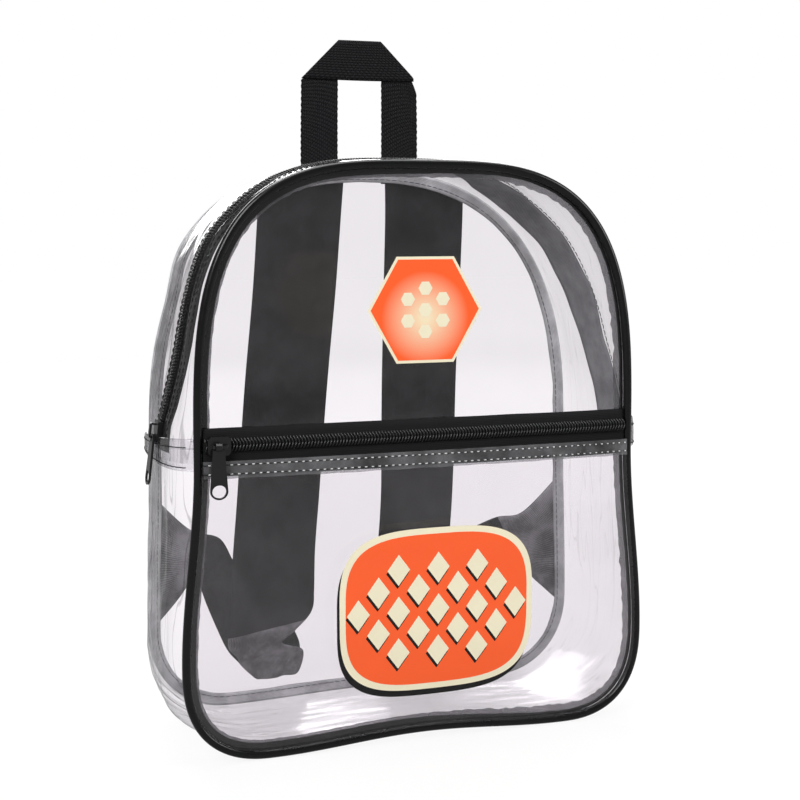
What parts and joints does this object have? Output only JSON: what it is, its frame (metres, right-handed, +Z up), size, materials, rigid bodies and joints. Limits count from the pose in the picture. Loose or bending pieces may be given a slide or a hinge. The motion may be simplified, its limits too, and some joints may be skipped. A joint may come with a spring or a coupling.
{
  "type": "clear backpack",
  "caption": "Clear film backpack with black piping, arched main zip, zipped front pocket, webbing carry handle and wide shoulder straps.",
  "frame": {"origin": "middle of the bounding box, at its lowest level", "axes": "+Z up, front with the pocket towards -Y, straps at +Y, +X to the right seen from the front"},
  "size_m": [0.2726, 0.1316, 0.3723],
  "materials": {
    "clear_film": "glossy clear vinyl film",
    "black_vinyl": "soft black vinyl",
    "black_tape": "woven polyester tape",
    "grey_binding": "thin woven seam tape",
    "black_coil": "nylon coil",
    "black_webbing": "ribbed webbing",
    "black_strap": "plain woven band",
    "black_metal": "black enamel"
  },
  "bodies": {
    "bag": {"front_panel": "clear_film", "front_piping": "black_vinyl", "gusset_lower": "clear_film", "gusset_upper_front": "clear_film", "gusset_upper_back": "clear_film", "main_zip_tape": "black_tape", "main_zip_coil": "black_coil", "back_panel": "clear_film", "back_binding": "grey_binding", "gusset_seam_left": "clear_film", "gusset_seam_right": "clear_film", "pocket_panel": "clear_film", "pocket_seam_strip": "clear_film", "pocket_zip_tape": "black_tape", "pocket_zip_coil": "black_coil", "pocket_zip_slider": "black_metal", "main_zip_slider": "black_metal", "carry_handle": "black_webbing", "shoulder_strap_left": "black_strap", "shoulder_strap_right": "black_strap"},
    "front_pull": {"pocket_zip_pull": "black_metal"},
    "side_pull": {"main_zip_pull": "black_metal"}
  },
  "joints": [
    {"name": "front_pull_swing", "type": "hinge", "parent": "bag", "child": "front_pull", "pos_m": [-0.10926, -0.06373, 0.1628], "axis": [-1, 0, 0], "range_deg": [0, 150]},
    {"name": "side_pull_swing", "type": "hinge", "parent": "bag", "child": "side_pull", "pos_m": [-0.13231, -0.0177, 0.16441], "axis": [0, 1, 0], "range_deg": [0, 100]}
  ]
}
